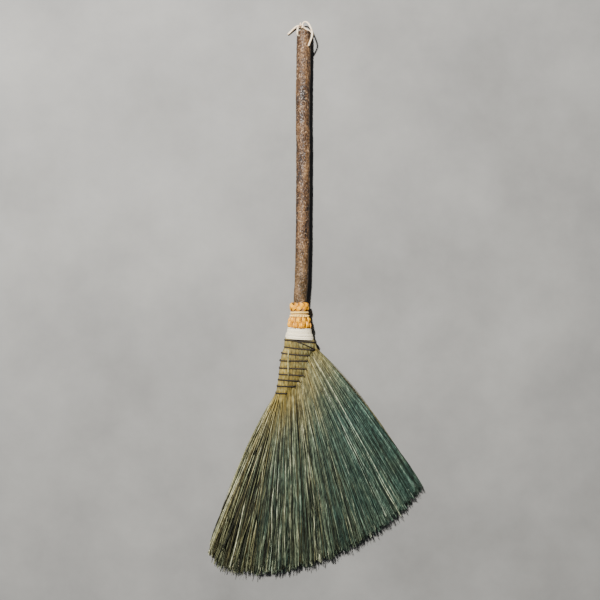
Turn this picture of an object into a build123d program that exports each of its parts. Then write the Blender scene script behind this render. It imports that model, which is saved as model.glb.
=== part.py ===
from build123d import *

import os
from math import cos, hypot, radians, sin, tan

# A hand-tied broom with a stick handle, lying on its flat side. All sizes are in millimetres.
# +Z is up from the side that the broom lies on, +Y runs along the stick to its hanging end, and
# +X is the side that the brush flares to. Everything is drawn from the neck, which is the point
# where the stick goes into the collars, and at the end it is moved so that the origin is at the
# middle of the broom's footprint.
NECK_AT = (-27.8, 0.5)
NECK_HEIGHT = 18.5

# The stick: y, x and height of its middle, and its radius, from the collar to the hanging end.
STICK_STATIONS = [
    (0, 1.2, NECK_HEIGHT, 11.2),
    (40, 3.5, 18.0, 11.6),
    (90, 5.0, 17.5, 11.9),
    (150, 5.6, 16.9, 11.8),
    (245, 6.3, 15.9, 11.9),
    (350, 6.1, 14.8, 12.3),
    (468, 7.6, 13.6, 12.4),
]
STICK_END_CHAMFER = 1.5
BRANCH_STUB = (6.2, 42.5, 25.6)
BRANCH_STUB_RADIUS = 5.0

# Its whittled end inside the head: y and radius.
TENON = [(0, 11.2), (-12, 9.0), (-58, 7.6)]

# The nail that anchors the tying cord, driven into the whittled end from above.
NAIL_Y = -45.0
NAIL_RADIUS = 1.0
NAIL_DEPTH = 4.0
NAIL_HEAD_RADIUS = 2.4
NAIL_HEAD = (8.9, 9.9)
UPRIGHT = (Align.CENTER, Align.CENTER, Align.MIN)

# Layers of the neck, from the inside out. Rows of three are y, half width and half height, and
# rows of two are y and radius.
NECK_BOTTOM = -64.5
INNER_STALKS_TOP = -14.0
INNER_STALKS_RADIUS = 11.5
INNER_TIE = (-50.0, -57.0)
INNER_TIE_RADIUS = 13.0
OUTER_STALKS = [(-3, 13.5, 13.5), (-24, 13.5, 13.5), (-45.3, 16.5, 14.2), (NECK_BOTTOM, 22.4, 14.7)]
UPPER_PLAIT = (-0.3, -17.0)
UPPER_PLAIT_RADII = (14.4, 17.1)
WAIST_CORD = [(-17.2, 15.4), (-21.4, 16.6), (-25.6, 16.6)]
LOWER_PLAIT = [(-25.8, 16.6, 16.2), (-35.5, 19.7, 18.2), (-45.1, 19.9, 17.2)]
WHITE_BINDING = [(-45.3, 21.6, 17.0), (-64.3, 25.0, 17.6)]

# The woven part of the brush: its left edge, and its twine rows from the neck down. Each row is
# the y of its middle, how far its right end drops below its left one, and the x of its right end.
WOVEN_LEFT_EDGE = [
    (-25.5, NECK_BOTTOM),
    (-26.2, -81.0),
    (-32.8, -91.0),
    (-34.2, -104.0),
    (-35.3, -125.0),
    (-37.0, -138.0),
    (-40.2, -157.0),
]
TWINE = 2.2
TWINE_ROWS = [
    (-67.4, 1.4, 28.2),
    (-80.5, 5.0, 27.5),
    (-90.5, 4.6, 17.3),
    (-101.5, 0.8, 14.7),
    (-114.5, 1.8, 11.7),
    (-125.5, 1.8, 6.9),
    (-135.0, 1.8, -0.2),
    (-145.0, -0.5, -6.3),
    (-157.0, 0.0, -21.2),
]
NECK_RIGHT_EDGE = 27.5
FLARE_START = (28.6, -83.0)
LAST_SPLITS = [-27.5, -33.7]

# The brush: the tips end on one arc, each angle being a side of a bundle, and the flare's two long
# edges are slightly bowed. The left corner is worn round before the arc starts.
TIP_ARC_MIDDLE = (-103.0, -65.0)
TIP_ARC_RADIUS = 404.0
TIP_ANGLES = [-38.7, -43.7, -48.7, -53.7, -58.7, -63.7, -68.7, -73.7, -78.7, -83.0, -87.0, -91.1]
RIGHT_EDGE_BOW = (115.0, -183.0)
LEFT_EDGE_BOW = (-98.0, -276.0)
LEFT_CORNER = [(-154.5, -422.0), (-156.5, -439.0), (-139.0, -459.0)]

# The brush from the side: height of its top and of its underside along y.
BRUSH_TOP = [(NECK_BOTTOM, 31.5), (-157, 29.5), (-300, 28.5), (-480, 26.0)]
WOVEN_BOTTOM = TWINE + 0.4
BRUSH_BOTTOM = [(-480, 0), (-176, 0), (-161, WOVEN_BOTTOM), (NECK_BOTTOM, WOVEN_BOTTOM)]

# The hanging thong: a leather lace through a hole that crosses the stick near its end. The hole
# slopes down towards +X. HOLE_REACH is how far along the hole each strand turns off.
HOLE_MIDDLE = (7.5, 458.0, 13.7)
HOLE_SLOPE = 42.0
HOLE_RADIUS = 2.3
HOLE_REACH = (-15.8, 16.0)
LACE_RADIUS = 1.4
KNOT = (3.2, 479.5, 7.5)
KNOT_RADIUS = 3.2
LOOP_STRAND_A = [(2.0, 478.3, 10.3), (0.4, 476.8, 14.0), (-2.1, 472.6, 19.8), (-4.3, 466.0, 23.6)]
LOOP_STRAND_B = [
    (22.8, 464.0, 3.0),
    (22.2, 469.5, 3.6),
    (15.5, 473.5, 4.6),
    (9.0, 477.0, 5.8),
    (6.1, 478.2, 6.6),
]
SHORT_END = [
    (4.4, 479.0, 7.6),
    (-0.4, 481.0, 6.9),
    (-5.9, 479.6, 4.6),
    (-11.2, 475.4, 3.2),
    (-16.0, 470.9, 2.3),
    (-20.6, 466.6, 2.0),
]
LONG_END = [
    (5.0, 482.6, 7.7),
    (7.6, 486.0, 9.8),
    (12.3, 485.4, 13.6),
    (16.6, 479.6, 18.0),
    (19.2, 472.6, 22.3),
    (21.3, 465.6, 26.4),
    (22.6, 458.2, 28.6),
    (20.6, 451.6, 28.2),
    (18.0, 445.2, 26.8),
    (15.3, 439.2, 25.3),
]


def across(x, y, z):
    """The plane square to the stick through a point, with its own x along +X and its y up."""
    return Plane(origin=(x, y, z), x_dir=(1, 0, 0), z_dir=(0, -1, 0))


def between(points, at):
    """Straight-line value at `at` in a list of (position, value) pairs in falling order."""
    for (start, low), (end, high) in zip(points, points[1:]):
        if end <= at <= start:
            return low + (high - low) * (at - start) / (end - start)
    return points[0][1] if at > points[0][0] else points[-1][1]


def layer(rows, ruled=False):
    """A closed body round the neck's axis through ellipses, each y, half width and half height."""
    ellipses = [across(0, y, NECK_HEIGHT) * Ellipse(wide, high) for y, wide, high in rows]
    return loft(ellipses, ruled=ruled)


def ring(top, bottom, radius):
    """A plain round body on the neck's axis between two values of y."""
    return layer([(top, radius, radius), (bottom, radius, radius)], ruled=True)


def hole_point(along):
    """A point on the cross hole's axis, `along` millimetres from the stick's middle towards +X."""
    slope = radians(HOLE_SLOPE)
    return Vector(*HOLE_MIDDLE) + Vector(cos(slope), 0, -sin(slope)) * along


def handle_stick():
    circles = [across(x, y, z) * Circle(radius) for y, x, z, radius in STICK_STATIONS]
    stick = loft(circles)
    stick = chamfer(stick.edges().group_by(Axis.Y)[-1], STICK_END_CHAMFER)
    stick += Pos(*BRANCH_STUB) * Sphere(BRANCH_STUB_RADIUS)
    stick += layer([(y, radius, radius) for y, radius in TENON], ruled=True)
    axis = hole_point(1) - hole_point(0)
    hole = Plane(origin=hole_point(0), z_dir=axis) * Cylinder(HOLE_RADIUS, 4 * STICK_STATIONS[-1][3])
    return stick - hole


def anchor_nail():
    low, high = NAIL_HEAD
    tip = between(TENON, NAIL_Y) - NAIL_DEPTH
    base = Pos(0, NAIL_Y, NECK_HEIGHT)
    shank = base * Pos(0, 0, tip) * Cylinder(NAIL_RADIUS, low - tip, align=UPRIGHT)
    head = base * Pos(0, 0, low) * Cylinder(NAIL_HEAD_RADIUS, high - low, align=UPRIGHT)
    return shank + head


def upper_plait():
    """The upper collar: a ring whose outside bulges, turned round the neck's axis."""
    top, bottom = UPPER_PLAIT
    edge, belly = UPPER_PLAIT_RADII
    outside = ThreePointArc((edge, top), (belly, (top + bottom) / 2), (edge, bottom))
    inside = Polyline((edge, bottom), (TENON[1][1], bottom), (TENON[1][1], top), (edge, top))
    section = Pos(0, 0, NECK_HEIGHT) * make_face(Curve() + [outside, inside])
    return revolve(section, Axis((0, 0, NECK_HEIGHT), (0, 1, 0)))


def neck_parts():
    """The stick's end and the layers on it, each cut by what lies inside it."""
    nail = anchor_nail()
    stick = handle_stick() - nail
    inner_stalks = ring(INNER_STALKS_TOP, NECK_BOTTOM, INNER_STALKS_RADIUS)
    inner_tie = ring(*INNER_TIE, INNER_TIE_RADIUS) - inner_stalks
    outer_stalks = layer(OUTER_STALKS)
    outer_stalks -= ring(0, INNER_STALKS_TOP, INNER_STALKS_RADIUS)
    waist = layer([(y, radius, radius) for y, radius in WAIST_CORD], ruled=True)
    return {
        "handle_stick": stick,
        "anchor_nail": nail,
        "inner_stalks": inner_stalks - stick - nail,
        "inner_tie": inner_tie,
        "outer_stalks": outer_stalks - inner_stalks - inner_tie,
        "upper_stalk_plait": upper_plait() - outer_stalks - stick,
        "waist_cord": waist - outer_stalks,
        "lower_stalk_plait": layer(LOWER_PLAIT) - outer_stalks,
        "white_binding": layer(WHITE_BINDING, ruled=True) - outer_stalks,
    }


def woven_left(y):
    return between([(y_edge, x_edge) for x_edge, y_edge in WOVEN_LEFT_EDGE], y)


def twine_row(middle, drop, right):
    """One row of twine round the stalks that it ties in, square in section."""
    left = woven_left(middle + drop / 2)
    wide = hypot(right - left, drop)
    top = between(BRUSH_TOP, middle)
    place = Plane(
        origin=((left + right) / 2, middle, (top + WOVEN_BOTTOM) / 2),
        x_dir=(right - left, -drop, 0),
        z_dir=(-drop, left - right, 0),
    )
    outside = RectangleRounded(wide + 2 * TWINE, top - WOVEN_BOTTOM + 2 * TWINE, TWINE)
    inside = Rectangle(wide, top - WOVEN_BOTTOM)
    return extrude(place * (outside - inside), TWINE / 2, both=True)


def tip(angle):
    """The point of the tips' arc at an angle from +X."""
    x, y = TIP_ARC_MIDDLE
    return (x + TIP_ARC_RADIUS * cos(radians(angle)), y + TIP_ARC_RADIUS * sin(radians(angle)))


def tip_edge(first, last):
    """The arc of tips between two angles, drawn from the first to the last."""
    return ThreePointArc(tip(first), tip((first + last) / 2), tip(last))


def brush_side():
    """The brush's side view as a block wider than the brush: it gives each bundle its heights."""
    outline = Polyline(*BRUSH_TOP, *BRUSH_BOTTOM, close=True)
    return extrude(Plane.YZ * make_face(outline), TIP_ARC_RADIUS, both=True)


def bundle_outlines():
    """The plan of each bundle, from the right: its stalks in the woven part, then its own flare."""
    count = len(TWINE_ROWS) + len(LAST_SPLITS)
    step = (NECK_RIGHT_EDGE - WOVEN_LEFT_EDGE[0][0]) / count
    tops = [(NECK_RIGHT_EDGE - step * k, NECK_BOTTOM) for k in range(count + 1)]
    row_ends = [(right, middle - drop / 2) for middle, drop, right in TWINE_ROWS]
    exits = [FLARE_START] + row_ends[1:] + [(x, row_ends[-1][1]) for x in LAST_SPLITS]
    exits.append(WOVEN_LEFT_EDGE[-1])
    tips = [tip(angle) for angle in TIP_ANGLES]
    long_sides = [[Line(tops[k], exits[k]), Line(exits[k], tips[k])] for k in range(count)]
    long_sides[0][1] = ThreePointArc(exits[0], RIGHT_EDGE_BOW, tips[0])
    long_sides.append([
        Polyline(*WOVEN_LEFT_EDGE),
        ThreePointArc(exits[-1], LEFT_EDGE_BOW, LEFT_CORNER[0]),
        Polyline(*LEFT_CORNER, tips[-1]),
    ])
    outlines = []
    for k in range(count):
        ends = [Line(tops[k], tops[k + 1]), tip_edge(TIP_ANGLES[k], TIP_ANGLES[k + 1])]
        outlines.append(long_sides[k] + long_sides[k + 1] + ends)
    return outlines


def brush_parts():
    """The twine rows, and the bundles with the twine's place cut out of them."""
    rows = [twine_row(*row) for row in TWINE_ROWS]
    side = brush_side()
    parts = {f"twine_row_{number}": row for number, row in enumerate(rows, 1)}
    for number, sides in enumerate(bundle_outlines(), 1):
        bundle = extrude(make_face(Curve() + sides), NECK_HEIGHT * 2) & side
        for row in rows:
            bundle -= row
        parts[f"broomcorn_bundle_{number}"] = max(bundle.solids(), key=lambda solid: solid.volume)
    return parts


def lace(name, points):
    """A round lace along straight runs joined by the largest arcs that they leave room for."""
    route = [Vector(*point) for point in points]
    runs = [after - before for before, after in zip(route, route[1:])]
    radii = []
    for run, following in zip(runs, runs[1:]):
        half_turn = radians(run.get_angle(following) / 2)
        radii.append(0.45 * min(run.length, following.length) / tan(half_turn))
    path = FilletPolyline(*route, radius=radii)
    section = Plane(origin=route[0], z_dir=runs[0]) * Circle(LACE_RADIUS)
    print(name, "length", round(path.length, 1), "radii", [round(radius, 1) for radius in radii])
    return sweep(section, path=path)


def thong_parts():
    """The lace's loop and free ends, and the knot that they meet in."""
    corners = [hole_point(along) for along in HOLE_REACH]
    loop = lace("thong_loop", LOOP_STRAND_A + corners + LOOP_STRAND_B)
    short_end = lace("thong_short_end", SHORT_END)
    return {
        "thong_loop": loop,
        "thong_knot": Pos(*KNOT) * Sphere(KNOT_RADIUS) - short_end,
        "thong_short_end": short_end,
        "thong_long_end": lace("thong_long_end", LONG_END),
    }


def main():
    os.makedirs("parts", exist_ok=True)
    parts = neck_parts() | brush_parts() | thong_parts()
    for node, shape in parts.items():
        export_step(Pos(*NECK_AT, 0) * shape, f"parts/{node}.step")


main()
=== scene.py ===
import math
from types import SimpleNamespace as Table

import bpy
import numpy as np
from mathutils import Matrix, Vector, noise
from numpy import array, clip, concatenate, cos, linspace, sin, stack


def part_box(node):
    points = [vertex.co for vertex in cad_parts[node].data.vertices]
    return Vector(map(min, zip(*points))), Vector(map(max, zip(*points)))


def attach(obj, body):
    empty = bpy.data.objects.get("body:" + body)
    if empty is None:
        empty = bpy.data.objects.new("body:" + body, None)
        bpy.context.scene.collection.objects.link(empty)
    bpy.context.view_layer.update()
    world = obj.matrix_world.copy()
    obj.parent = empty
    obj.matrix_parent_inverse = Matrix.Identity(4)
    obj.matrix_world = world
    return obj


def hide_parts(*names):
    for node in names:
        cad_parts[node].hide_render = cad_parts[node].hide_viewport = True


# A hand-tied broom lying on a pale floor. Lengths are written in millimetres in the neck frame:
# x and y from the point where the stick goes into the collars, z from the floor. place() turns
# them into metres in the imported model's frame.
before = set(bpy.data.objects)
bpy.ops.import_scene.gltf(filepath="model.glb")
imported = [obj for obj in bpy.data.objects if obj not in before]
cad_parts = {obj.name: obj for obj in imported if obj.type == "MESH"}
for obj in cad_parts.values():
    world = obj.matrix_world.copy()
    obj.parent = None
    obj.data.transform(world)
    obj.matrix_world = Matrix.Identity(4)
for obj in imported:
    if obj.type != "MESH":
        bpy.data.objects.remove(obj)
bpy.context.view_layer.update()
rng = np.random.default_rng(7)

MM = 0.001
TAU = 2 * math.pi
COLLAR_GAP = 0.3
PLAIT_LOW, PLAIT_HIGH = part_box("upper_stalk_plait")
NECK = array([(PLAIT_LOW.x + PLAIT_HIGH.x) / 2, PLAIT_HIGH.y + COLLAR_GAP * MM, 0])
NECK_HEIGHT = (PLAIT_LOW.z + PLAIT_HIGH.z) / 2 / MM


def place(points):
    """Millimetres in the neck frame to metres in the model's frame."""
    return np.asarray(points, float) * MM + NECK


# ---- numbers and lines

def between(first, last, share):
    return first + (last - first) * share


def ease(value, low, high):
    """From 0 at low to 1 at high, easing at both. low may be the greater one."""
    t = clip((value - low) / (high - low), 0, 1)
    return t * t * (3 - 2 * t)


def bell(distance, width):
    return np.exp(-((distance / width) ** 2))


def reflected(values, low, high):
    """Values turned back into the range from low to high at its ends."""
    return high - abs(high - (low + abs(values - low)))


def unit(vectors):
    return vectors / np.maximum(np.linalg.norm(vectors, axis=-1, keepdims=True), 1e-9)


def reach(line):
    """How far along a line of points each point lies."""
    return concatenate([[0], np.cumsum(np.linalg.norm(np.diff(line, axis=0), axis=1))])


# ---- materials

class Look:
    """A new material in the next slot of a thing, and the shader nodes that it is made from."""

    def __init__(self, thing, name, roughness, sheen=0.0, specular=0.3):
        material = bpy.data.materials.new(name)
        material.use_nodes = True
        self.tree = material.node_tree
        self.set("Roughness", roughness)
        self.set("Sheen Weight", sheen)
        self.set("Specular IOR Level", specular)
        thing.data.materials.append(material)

    def feed(self, socket, value):
        """Links a socket to another node's, or sets it to a number or a colour."""
        if isinstance(value, bpy.types.NodeSocket):
            self.tree.links.new(value, socket)
        else:
            socket.default_value = (*value, 1) if socket.type == "RGBA" else value

    def set(self, name, value):
        self.feed(self.tree.nodes["Principled BSDF"].inputs[name], value)

    def node(self, kind, inputs, **settings):
        node = self.tree.nodes.new("ShaderNode" + kind)
        for name, value in settings.items():
            setattr(node, name, value)
        for name, value in inputs.items():
            self.feed(node.inputs[name], value)
        return node

    def position(self, stretch=(1, 1, 1), shift=(0, 0, 0)):
        """Object coordinates, stretched along each axis and then shifted."""
        point = self.node("TexCoord", {}).outputs["Object"]
        return self.node("Mapping", {"Vector": point, "Location": shift, "Scale": stretch}).outputs["Vector"]

    def attribute(self, name, kind="Fac"):
        return self.node("Attribute", {}, attribute_name=name).outputs[kind]

    def noise(self, scale, detail=4.0, roughness=0.5, stretch=(1, 1, 1)):
        inputs = {"Scale": scale, "Detail": detail, "Roughness": roughness, "Vector": self.position(stretch)}
        return self.node("TexNoise", inputs).outputs["Fac"]

    def cells(self, scale, stretch=(1, 1, 1), feature="F1"):
        """Distance from a point to the middle of its cell, or to the edge of its cell."""
        inputs = {"Scale": scale, "Vector": self.position(stretch)}
        return self.node("TexVoronoi", inputs, feature=feature).outputs["Distance"]

    def math(self, operation, first, second, clamp=False):
        return self.node("Math", {0: first, 1: second}, operation=operation, use_clamp=clamp).outputs["Value"]

    def total(self, first, share, second, other_share):
        """first times its share plus second times its own."""
        first = self.math("MULTIPLY", first, share)
        return self.math("ADD", first, self.math("MULTIPLY", second, other_share))

    def mix(self, factor, first, second, kind="MIX"):
        """Two colours mixed by a factor."""
        inputs = {0: factor, 6: first, 7: second}
        return self.node("Mix", inputs, data_type="RGBA", blend_type=kind).outputs[2]

    def ramp(self, value, stops):
        """A value's colour on a ramp. Each stop is a position and a linear colour."""
        node = self.node("ValToRGB", {"Fac": value})
        elements = node.color_ramp.elements
        while len(elements) < len(stops):
            elements.new(0.5)
        for element, (position, *colour) in zip(elements, stops):
            element.position = position
            element.color = (*colour, 1)
        return node.outputs["Color"]

    def paint(self, value, stops):
        self.set("Base Color", self.ramp(value, stops))

    def bump(self, height, distance):
        """Bumps from a height between 0 and 1, over a distance in metres."""
        self.set("Normal", self.node("Bump", {"Distance": distance, "Height": height}).outputs["Normal"])


def broomcorn_material(thing, name):
    """Dry fibre. Attribute strand holds each fibre's tone, which carries painted shade inside the brush and
    under the twine and painted highlights on some outer fibres, how much dye it took, and warmth.
    """
    look = Look(thing, name, 0.58)
    tone, dye, warmth = look.node("SeparateXYZ", {"Vector": look.attribute("strand", "Vector")}).outputs
    straw = look.ramp(tone, [
        (0.0, 0.01, 0.008, 0.005),
        (0.3, 0.056, 0.048, 0.02),
        (0.6, 0.185, 0.17, 0.078),
        (0.85, 0.375, 0.35, 0.185),
        (1.0, 0.64, 0.61, 0.39),
    ])
    green = look.ramp(tone, [
        (0.0, 0.003, 0.009, 0.008),
        (0.3, 0.013, 0.036, 0.03),
        (0.6, 0.047, 0.1, 0.082),
        (0.85, 0.15, 0.23, 0.185),
        (1.0, 0.33, 0.4, 0.32),
    ])
    uneven = look.math("MULTIPLY", look.math("SUBTRACT", look.noise(28.0, detail=3.0), 0.5), 0.5)
    dyed = look.mix(look.math("ADD", dye, uneven, clamp=True), straw, green)
    warm = look.mix(warmth, dyed, (0.36, 0.25, 0.035))
    patches = look.noise(310.0, detail=3.0, roughness=0.6, stretch=(1, 0.32, 1))
    worn = look.ramp(patches, [(0.34, 0.34, 0.34, 0.33), (0.68, 1.55, 1.52, 1.4)])
    look.set("Base Color", look.mix(0.85, warm, worn, "MULTIPLY"))
    look.bump(look.noise(900.0, detail=2.0, stretch=(1, 0.08, 1)), 0.0002)


def plait_material(thing, name):
    """Orange-dyed stalks. The tone attribute carries painted highlight, gold where a stalk bulges outward,
    and painted shade, brown where it dips under another.
    """
    look = Look(thing, name, 0.4, specular=0.5)
    look.paint(look.total(look.noise(330.0, roughness=0.6), 0.5, look.attribute("tone"), 0.7), [
        (0.24, 0.03, 0.01, 0.000),
        (0.44, 0.27, 0.095, 0.000),
        (0.66, 0.68, 0.29, 0.000),
        (0.96, 1.000, 0.53, 0.003),
    ])
    look.bump(look.noise(700.0, detail=3.0), 0.0003)


def cord_material(thing, name, dark, light, roughness=0.75, sheen=0.25):
    look = Look(thing, name, roughness, sheen, specular=0.25)
    fibre = look.noise(420.0, roughness=0.65)
    look.paint(look.total(fibre, 0.6, look.attribute("tone"), 0.5), [(0.25, *dark), (0.8, *light)])
    look.bump(look.noise(1500.0, detail=3.0), 0.0002)


def leather_material(thing, name):
    look = Look(thing, name, 0.5, sheen=0.1, specular=0.4)
    look.paint(look.noise(160.0, roughness=0.6), [
        (0.3, 0.64, 0.42, 0.26),
        (0.5, 0.86, 0.69, 0.48),
        (0.72, 0.95, 0.86, 0.66),
    ])
    look.bump(look.cells(1600.0), 0.00025)


def bark_material(thing, name):
    """Oiled bark: warm browns in small scales, with dark cracks, pale rubbed flecks and a scar."""
    look = Look(thing, name, 0.5, specular=0.42)
    blotches = look.noise(70.0, detail=6.0, roughness=0.66, stretch=(1, 0.55, 1))
    grain = look.noise(420.0, roughness=0.6, stretch=(1, 0.5, 1))
    mottle = look.total(blotches, 0.6, grain, 0.5)
    bark = look.ramp(look.total(look.attribute("relief"), 0.3, mottle, 0.72), [
        (0.36, 0.009, 0.004, 0.002),
        (0.49, 0.06, 0.027, 0.009),
        (0.62, 0.165, 0.088, 0.035),
        (0.8, 0.42, 0.255, 0.125),
    ])
    olive = look.mix(look.attribute("olive"), bark, (0.15, 0.1, 0.038))
    cell_edge = look.cells(330.0, (1, 0.6, 1), "DISTANCE_TO_EDGE")
    cracks = look.ramp(cell_edge, [(0.0, 0.3, 0.26, 0.24), (0.12, 1.0, 1.0, 1.0)])
    cracked = look.mix(0.8, olive, cracks, "MULTIPLY")
    flecks = look.math("SUBTRACT", look.noise(260.0, detail=2.0, roughness=0.4), 0.6, clamp=True)
    flecked = look.mix(look.math("MULTIPLY", flecks, 5.0, clamp=True), cracked, (0.4, 0.27, 0.16))
    look.set("Base Color", look.mix(look.attribute("scar"), flecked, (0.02, 0.01, 0.006)))
    look.set("Roughness", look.ramp(blotches, [(0.35, 0.4, 0.4, 0.4), (0.7, 0.62, 0.62, 0.62)]))
    look.bump(look.total(grain, 0.6, cracks, 1.0), 0.0005)


def sawn_material(thing, name):
    """The stick's sawn end: pale wood with growth rings round the stick's middle."""
    look = Look(thing, name, 0.7)
    from_middle = look.position(shift=-place(STICK_STATIONS[-1][:3]))
    inputs = {"Vector": from_middle, "Scale": 160.0, "Distortion": 2.0}
    rings = look.node("TexWave", inputs, wave_type="RINGS", rings_direction="Y")
    look.paint(rings.outputs["Fac"], [(0.2, 0.42, 0.28, 0.16), (0.8, 0.62, 0.46, 0.29)])


def stalk_material(thing, name):
    look = Look(thing, name, 0.7)
    fibre = look.noise(300.0, roughness=0.6, stretch=(1, 0.08, 1))
    look.paint(fibre, [(0.3, 0.3, 0.2, 0.08), (0.7, 0.62, 0.48, 0.24)])
    look.bump(fibre, 0.0006)


def core_material(thing, name):
    look = Look(thing, name, 0.8)
    fibre = look.noise(300.0, detail=3.0, stretch=(1, 0.1, 1))
    # Painted shade: the core is coloured near black, for the shade deep inside the neck.
    look.paint(fibre, [(0.3, 0.02, 0.016, 0.008), (0.7, 0.09, 0.075, 0.035)])


def tie_material(thing, name):
    look = Look(thing, name, 0.8)
    inputs = {"Vector": look.position(), "Scale": 200.0}
    turns = look.node("TexWave", inputs, bands_direction="Y").outputs["Fac"]
    look.paint(turns, [(0.2, 0.4, 0.27, 0.13), (0.8, 0.74, 0.58, 0.37)])
    look.bump(turns, 0.0008)


def steel_material(thing, name):
    look = Look(thing, name, 0.4)
    look.set("Metallic", 1.0)
    look.paint(look.noise(900.0), [(0.4, 0.3, 0.24, 0.2), (0.6, 0.46, 0.45, 0.44)])


# ---- camera, floor and lights

CAMERA_HEIGHT = 1400.0
CAMERA_AT = (1.0, 3.0)
FRAME_WIDTH = 1050.0
SENSOR = 36.0
FLOOR_SIZE = 8.0
FLOOR_DROP = 0.3
KEY_FROM = (-0.33, 0.56, 1.0)
SIDE_FROM = (-1.0, 0.15, 0.75)
SKY = (0.86, 0.92, 1.0)
SKY_STRENGTH = 0.09


def make_camera():
    """Straight above the broom, with the top of the picture along +Y."""
    data = bpy.data.cameras.new("camera")
    data.sensor_width = SENSOR
    data.lens = SENSOR * CAMERA_HEIGHT / FRAME_WIDTH
    camera = bpy.data.objects.new("camera", data)
    camera.location = place((*CAMERA_AT, CAMERA_HEIGHT))
    bpy.context.scene.collection.objects.link(camera)
    bpy.context.scene.camera = camera


def make_light(name, direction, distance, size, watts, colour):
    """A round light that shines on the middle of the broom. Distance and size are in metres."""
    data = bpy.data.lights.new(name, "AREA")
    data.shape = "DISK"
    data.size = size
    data.energy = watts
    data.color = colour
    light = bpy.data.objects.new(name, data)
    direction = Vector(direction).normalized()
    light.location = direction * distance
    light.rotation_euler = direction.to_track_quat("Z", "Y").to_euler()
    bpy.context.scene.collection.objects.link(light)


def make_stage():
    """A plain stone floor, a hard key light from the far left, a weak side light and little else."""
    bpy.ops.mesh.primitive_plane_add(size=FLOOR_SIZE, location=(0, 0, -FLOOR_DROP * MM))
    floor = bpy.context.object
    floor.name = "floor"
    look = Look(floor, "floor_stone", 0.6)
    clouds = look.noise(4.0, detail=8.0, roughness=0.62)
    look.paint(clouds, [(0.3, 0.155, 0.155, 0.15), (0.7, 0.235, 0.235, 0.225)])
    make_light("key_light", KEY_FROM, 3.2, 0.22, 330, (1.0, 0.97, 0.93))
    make_light("side_light", SIDE_FROM, 3.0, 1.4, 12, (0.95, 0.97, 1.0))
    world = bpy.data.worlds.new("studio")
    world.use_nodes = True
    sky = world.node_tree.nodes["Background"].inputs
    sky["Color"].default_value = (*SKY, 1)
    sky["Strength"].default_value = SKY_STRENGTH
    bpy.context.scene.world = world


# ---- mesh tools

def new_mesh(name, slot, points, faces, body="broom", **values):
    """A piece from points in the neck frame, riding on its body, with named values for each point."""
    mesh = bpy.data.meshes.new(name)
    mesh.from_pydata(place(points).tolist(), [], faces)
    mesh.update()
    for attribute, numbers in values.items():
        numbers = np.asarray(numbers, np.float32)
        kind, field = ("FLOAT", "value") if numbers.ndim == 1 else ("FLOAT_VECTOR", "vector")
        mesh.attributes.new(attribute, kind, "POINT").data.foreach_set(field, numbers.ravel())
    mesh.polygons.foreach_set("use_smooth", [True] * len(mesh.polygons))
    piece = bpy.data.objects.new(name, mesh)
    bpy.context.scene.collection.objects.link(piece)
    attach(piece, body)
    return piece


def radial(angle):
    """Which way is outward at an angle round the Y axis, from +X over the top."""
    return stack([cos(angle), np.zeros_like(angle), sin(angle)], -1)


def tube_rings(path, radius, sides, closed=False, up=(0, 0, 1), flat=1.0, roll=0.0):
    """Rings of points round a path, or round many at once. flat below 1 thins a tube along up."""
    if closed:
        tangent = unit(np.roll(path, -1, -2) - np.roll(path, 1, -2))
    else:
        tangent = unit(np.gradient(path, axis=-2))
    side = unit(np.cross(tangent, up))
    over = np.cross(side, tangent)
    turn = (np.arange(sides) / sides * TAU + roll)[..., None]
    spread = cos(turn) * side[..., None, :] + sin(turn) * over[..., None, :] * flat
    return path[..., None, :] + spread * np.asarray(radius, float)[..., None, None]


def ring_quads(rings, sides, closed=False):
    """Quads between rings of points, and from the last ring to the first if closed."""
    a = np.arange(rings if closed else rings - 1)[:, None] * sides
    b = (a + sides) % (rings * sides)
    here = np.arange(sides)
    after = (here + 1) % sides
    return stack([a + here, a + after, b + after, b + here], -1).reshape(-1, 4)


def tube_faces(rings, sides, closed=False, first=0):
    """A tube's faces, with one over each end of an open tube. first is its first point's number."""
    faces = (ring_quads(rings, sides, closed) + first).tolist()
    if not closed:
        last = first + (rings - 1) * sides
        faces.append(list(range(first + sides - 1, first - 1, -1)))
        faces.append(list(range(last, last + sides)))
    return faces


class Builder:
    """Gathers tubes into one piece. A tube's tone is one value, or one for each point of its path."""

    def __init__(self):
        self.points, self.faces, self.tones, self.count = [], [], [], 0

    def add(self, path, radius, sides, tone=0.5, **options):
        rings = tube_rings(path, radius, sides, **options)
        self.faces += tube_faces(len(rings), sides, options.get("closed", False), self.count)
        self.points.append(rings.reshape(-1, 3))
        self.tones.append(np.broadcast_to(np.asarray(tone, float).reshape(-1, 1), rings.shape[:2]).ravel())
        self.count += rings.shape[0] * sides

    def piece(self, name, slot, node, body="broom"):
        """The gathered tubes as one piece, which stands for a CAD node."""
        points, tones = concatenate(self.points), concatenate(self.tones)
        piece = new_mesh(name, slot, points, self.faces, body, tone=tones)
        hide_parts(node)
        return piece


# ---- the thong

HOLE_MIDDLE = array((7.5, 458.0, 13.7))
HOLE_SLOPE = math.radians(42)
HOLE_AXIS = array((math.cos(HOLE_SLOPE), 0, -math.sin(HOLE_SLOPE)))
HOLE_RADIUS = 2.3
HOLE_REACH = (-14.2, -8.0, 8.0, 16.0)
LACE_WIDTH = 3.2
LACE_FLATNESS = 0.78
LACE_SIDES = 12
HOLE_SQUEEZE = 0.12
TIP_TAPER = 0.3
TIP_LENGTH = 2.5
KNOT = array((3.2, 479.5, 7.5))
KNOT_WIDTH = 0.95
KNOT_LENGTH = 2.3
KNOT_LACE = 1.4
KNOT_STUB = array([(1.9, 478.5, 10.0), (1.6, 481.5, 11.0), (2.0, 484.4, 11.2)])
LOOP_STRAND_A = [
    (2.0, 478.3, 10.3),
    (-0.6, 478.2, 14.2),
    (-2.6, 473.6, 20.9),
    (-3.2, 467.3, 25.3),
    (-3.6, 463.0, 26.0),
]
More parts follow.
